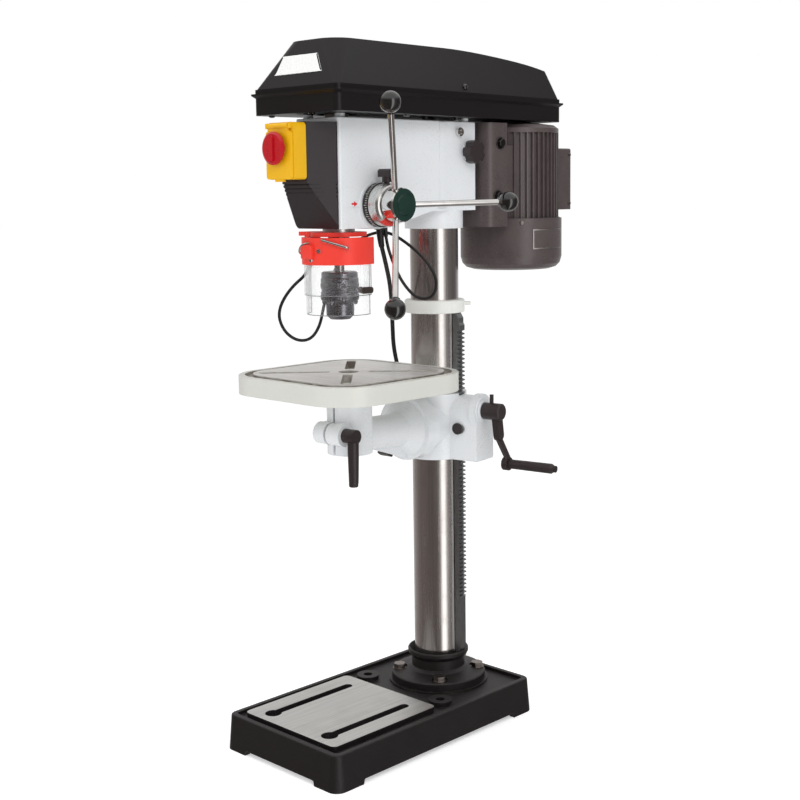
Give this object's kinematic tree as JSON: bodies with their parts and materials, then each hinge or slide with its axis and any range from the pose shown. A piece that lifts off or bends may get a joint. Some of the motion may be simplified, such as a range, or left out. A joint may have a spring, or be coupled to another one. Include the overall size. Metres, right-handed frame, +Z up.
{
  "type": "drill press",
  "caption": "Pillar drill press with quill feed, swinging and tilting table on a rack, belt drive under a hinged lid, chuck guard and switch.",
  "frame": {"origin": "midway between the two bench bolt holes of the base, on the bench", "axes": "+Z up, +X to the operator's right where the feed handles are, -Y towards the operator"},
  "size_m": [0.3685, 0.6107, 1],
  "materials": {
    "cast_paint": "white gloss enamel",
    "machined_iron": "ground iron top, cream enamel sides",
    "bright_steel": "ground steel",
    "chromed": "chrome plate",
    "black_oxide": "black oxide",
    "black_plastic": "fine textured",
    "black_gloss": "polished phenolic",
    "red_paint": "gloss red enamel",
    "red_plastic": "moulded",
    "green_plastic": "moulded",
    "yellow_plastic": "moulded",
    "clear_plastic": "clear sheet",
    "belt_rubber": "rubber belt",
    "cord_jacket": "pvc jacket",
    "pulley_metal": "die cast, turned",
    "motor_paint": "black enamel",
    "base_paint": "textured black enamel",
    "cover_black": "satin black enamel"
  },
  "bodies": {
    "stand": {"base": "base_paint", "column_flange": "base_paint", "flange_bolts": "bright_steel", "column": "bright_steel", "rack_collar": "cast_paint", "head_casting": "cast_paint", "front_cover": "black_plastic", "belt_tray": "cover_black", "tray_screws": "black_oxide", "spring_cup": "black_oxide", "switch_box": "yellow_plastic", "front_belt": "belt_rubber", "rear_belt": "belt_rubber", "guard_cable": "cord_jacket", "mains_cord": "cord_jacket", "cord_coil": "cord_jacket", "plug": "black_plastic"},
    "rack_ring": {"rack": "bright_steel"},
    "bracket": {"table_bracket": "cast_paint"},
    "gear": {"table_gear": "bright_steel"},
    "crank": {"crank_arm": "black_oxide"},
    "crank_handle": {"crank_grip": "black_gloss"},
    "column_lock": {"column_lock_knob": "black_plastic"},
    "arm": {"table_arm": "cast_paint"},
    "table_clamp": {"table_lever": "black_plastic"},
    "table": {"table": "machined_iron"},
    "quill": {"quill": "bright_steel", "guard_holder": "red_paint"},
    "spindle": {"spindle": "bright_steel", "chuck_body": "bright_steel"},
    "sleeve": {"chuck_sleeve": "chromed"},
    "jaw_a": {"jaw_1": "bright_steel"},
    "jaw_b": {"jaw_2": "bright_steel"},
    "jaw_c": {"jaw_3": "bright_steel"},
    "feed": {"pinion_shaft": "bright_steel", "depth_drum": "pulley_metal", "feed_hub": "chromed", "feed_spokes": "chromed", "ball_knobs": "black_gloss"},
    "depth_ring": {"depth_ring": "black_oxide"},
    "depth_lock": {"depth_lock_knob": "black_plastic"},
    "spindle_pulley": {"spindle_pulley": "pulley_metal"},
    "idler_arm": {"idler_arm": "bright_steel"},
    "idler_pulley": {"idler_pulley": "pulley_metal"},
    "motor": {"motor_bracket": "motor_paint", "slide_rods": "bright_steel", "motor_body": "motor_paint", "fan_cowl": "motor_paint", "terminal_box": "motor_paint"},
    "rotor": {"motor_rotor": "bright_steel", "motor_pulley": "pulley_metal"},
    "tension": {"tension_knob": "black_plastic"},
    "lid": {"guard_lid": "cover_black"},
    "guard_door": {"guard_band": "red_paint", "inner_shield": "clear_plastic"},
    "shield_slide": {"outer_shield": "clear_plastic"},
    "shield_screw": {"wing_screw": "bright_steel"},
    "flap": {"switch_flap": "yellow_plastic"},
    "stop": {"stop_button": "red_plastic"},
    "start": {"start_button": "green_plastic"}
  },
  "joints": [
    {"name": "rack_swing", "type": "hinge", "parent": "stand", "child": "rack_ring", "pos_m": [0, 0.078, 0.4], "axis": [0, 0, 1], "range_deg": [-2, 70]},
    {"name": "table_lift", "type": "slide", "parent": "rack_ring", "child": "bracket", "axis": [0, 0, 1], "range_m": [-0.25, 0.06]},
    {"name": "gear_turn", "type": "hinge", "parent": "bracket", "child": "gear", "pos_m": [0.05958, 0.08851, 0.447], "axis": [0.1736, -0.9848, 0], "range_deg": [-1023.14, 245.55]},
    {"name": "crank_turn", "type": "hinge", "parent": "bracket", "child": "crank", "pos_m": [0.0895, 0.0887, 0.474], "axis": [-0.9848, -0.1736, 0], "range_deg": [-14323.94, 3437.75]},
    {"name": "crank_grip_spin", "type": "hinge", "parent": "crank", "child": "crank_handle", "pos_m": [0.12648, 0.10933, 0.39521], "axis": [0.9848, 0.1736, 0], "continuous": true},
    {"name": "column_lock_turn", "type": "hinge", "parent": "bracket", "child": "column_lock", "pos_m": [-0.05781, 0.04658, 0.417], "axis": [-0.9972, -0.075, 0], "range_deg": [-90, 180]},
    {"name": "table_tilt", "type": "hinge", "parent": "bracket", "child": "arm", "pos_m": [0.0075, -0.02172, 0.45], "axis": [-0.075, 0.9972, 0], "range_deg": [-45, 45]},
    {"name": "table_clamp_turn", "type": "hinge", "parent": "arm", "child": "table_clamp", "pos_m": [0.04712, -0.1486, 0.464], "axis": [0.9972, 0.075, 0], "range_deg": [-60, 60]},
    {"name": "table_turn", "type": "hinge", "parent": "arm", "child": "table", "pos_m": [0.01443, -0.11396, 0.5], "axis": [0, 0, 1], "continuous": true},
    {"name": "quill_feed", "type": "slide", "parent": "stand", "child": "quill", "axis": [0, 0, -1], "range_m": [0, 0.065], "stiffness_N_per_m": 700, "springref_m": -0.12, "deforming": ["guard_cable"]},
    {"name": "spindle_spin", "type": "hinge", "parent": "quill", "child": "spindle", "pos_m": [0, -0.1145, 0.7], "axis": [0, 0, 1], "continuous": true},
    {"name": "chuck_turn", "type": "hinge", "parent": "spindle", "child": "sleeve", "pos_m": [0, -0.1145, 0.666], "axis": [0, 0, 1], "range_deg": [-720, 720]},
    {"name": "jaw_a_slide", "type": "slide", "parent": "spindle", "child": "jaw_a", "axis": [0.2676, 0.1545, 0.9511], "range_m": [-0.006, 0.006]},
    {"name": "jaw_b_slide", "type": "slide", "parent": "spindle", "child": "jaw_b", "axis": [-0.2676, 0.1545, 0.9511], "range_m": [-0.006, 0.006]},
    {"name": "jaw_c_slide", "type": "slide", "parent": "spindle", "child": "jaw_c", "axis": [0, -0.309, 0.9511], "range_m": [-0.006, 0.006]},
    {"name": "feed_turn", "type": "hinge", "parent": "stand", "child": "feed", "pos_m": [0, -0.08275, 0.7785], "axis": [1, 0, 0], "range_deg": [0, 331.04]},
    {"name": "depth_ring_turn", "type": "hinge", "parent": "feed", "child": "depth_ring", "pos_m": [0.05, -0.08275, 0.7785], "axis": [1, 0, 0], "continuous": true},
    {"name": "depth_lock_turn", "type": "hinge", "parent": "feed", "child": "depth_lock", "pos_m": [0.0643, -0.08275, 0.8085], "axis": [0, 0, 1], "continuous": true},
    {"name": "spindle_pulley_spin", "type": "hinge", "parent": "stand", "child": "spindle_pulley", "pos_m": [0, -0.1145, 0.93], "axis": [0, 0, 1], "continuous": true},
    {"name": "idler_swing", "type": "hinge", "parent": "stand", "child": "idler_arm", "pos_m": [0.03, 0.031, 0.9], "axis": [0, 0, 1], "range_deg": [-5, 5], "deforming": ["front_belt", "rear_belt"]},
    {"name": "idler_spin", "type": "hinge", "parent": "idler_arm", "child": "idler_pulley", "pos_m": [0, 0.086, 0.93], "axis": [0, 0, 1], "continuous": true},
    {"name": "motor_slide", "type": "slide", "parent": "stand", "child": "motor", "axis": [0, 1, 0], "range_m": [-0.008, 0.004], "deforming": ["rear_belt"]},
    {"name": "motor_spin", "type": "hinge", "parent": "motor", "child": "rotor", "pos_m": [0, 0.256, 0.8], "axis": [0, 0, 1], "continuous": true},
    {"name": "tension_turn", "type": "hinge", "parent": "stand", "child": "tension", "pos_m": [0.05, 0.105, 0.853], "axis": [1, 0, 0], "range_deg": [-90, 180]},
    {"name": "lid_hinge", "type": "hinge", "parent": "stand", "child": "lid", "pos_m": [-0.09502, -0.191, 0.932], "axis": [-0.0666, -0.9978, 0], "range_deg": [0, 95]},
    {"name": "guard_swing", "type": "hinge", "parent": "quill", "child": "guard_door", "pos_m": [-0.052, -0.1185, 0.71], "axis": [0, 0, 1], "range_deg": [-100, 0], "deforming": ["guard_cable"]},
    {"name": "shield_lift", "type": "slide", "parent": "guard_door", "child": "shield_slide", "axis": [0, 0, 1], "range_m": [-0.03, 0]},
    {"name": "wing_screw_turn", "type": "hinge", "parent": "guard_door", "child": "shield_screw", "pos_m": [0.055, -0.1145, 0.663], "axis": [1, 0, 0], "continuous": true},
    {"name": "flap_hinge", "type": "hinge", "parent": "stand", "child": "flap", "pos_m": [0, -0.218, 0.8845], "axis": [-1, 0, 0], "range_deg": [0, 80]},
    {"name": "stop_press", "type": "slide", "parent": "flap", "child": "stop", "axis": [0, 1, 0], "range_m": [0, 0.004], "stiffness_N_per_m": 800, "springref_m": -0.003},
    {"name": "start_press", "type": "slide", "parent": "stand", "child": "start", "axis": [0, 1, 0], "range_m": [0, 0.003], "stiffness_N_per_m": 800, "springref_m": -0.002}
  ],
  "couplings": [
    {"joint": "gear_turn", "follows": "table_lift", "rad_per_m": 71.429},
    {"joint": "crank_turn", "follows": "table_lift", "rad_per_m": 1000},
    {"joint": "feed_turn", "follows": "quill_feed", "rad_per_m": 88.889},
    {"joint": "spindle_pulley_spin", "follows": "spindle_spin", "ratio": 1},
    {"joint": "idler_spin", "follows": "spindle_spin", "ratio": 1.2861},
    {"joint": "motor_spin", "follows": "spindle_spin", "ratio": 0.9707},
    {"joint": "jaw_a_slide", "follows": "chuck_turn", "m_per_rad": 0.00047746},
    {"joint": "jaw_b_slide", "follows": "chuck_turn", "m_per_rad": 0.00047746},
    {"joint": "jaw_c_slide", "follows": "chuck_turn", "m_per_rad": 0.00047746}
  ]
}
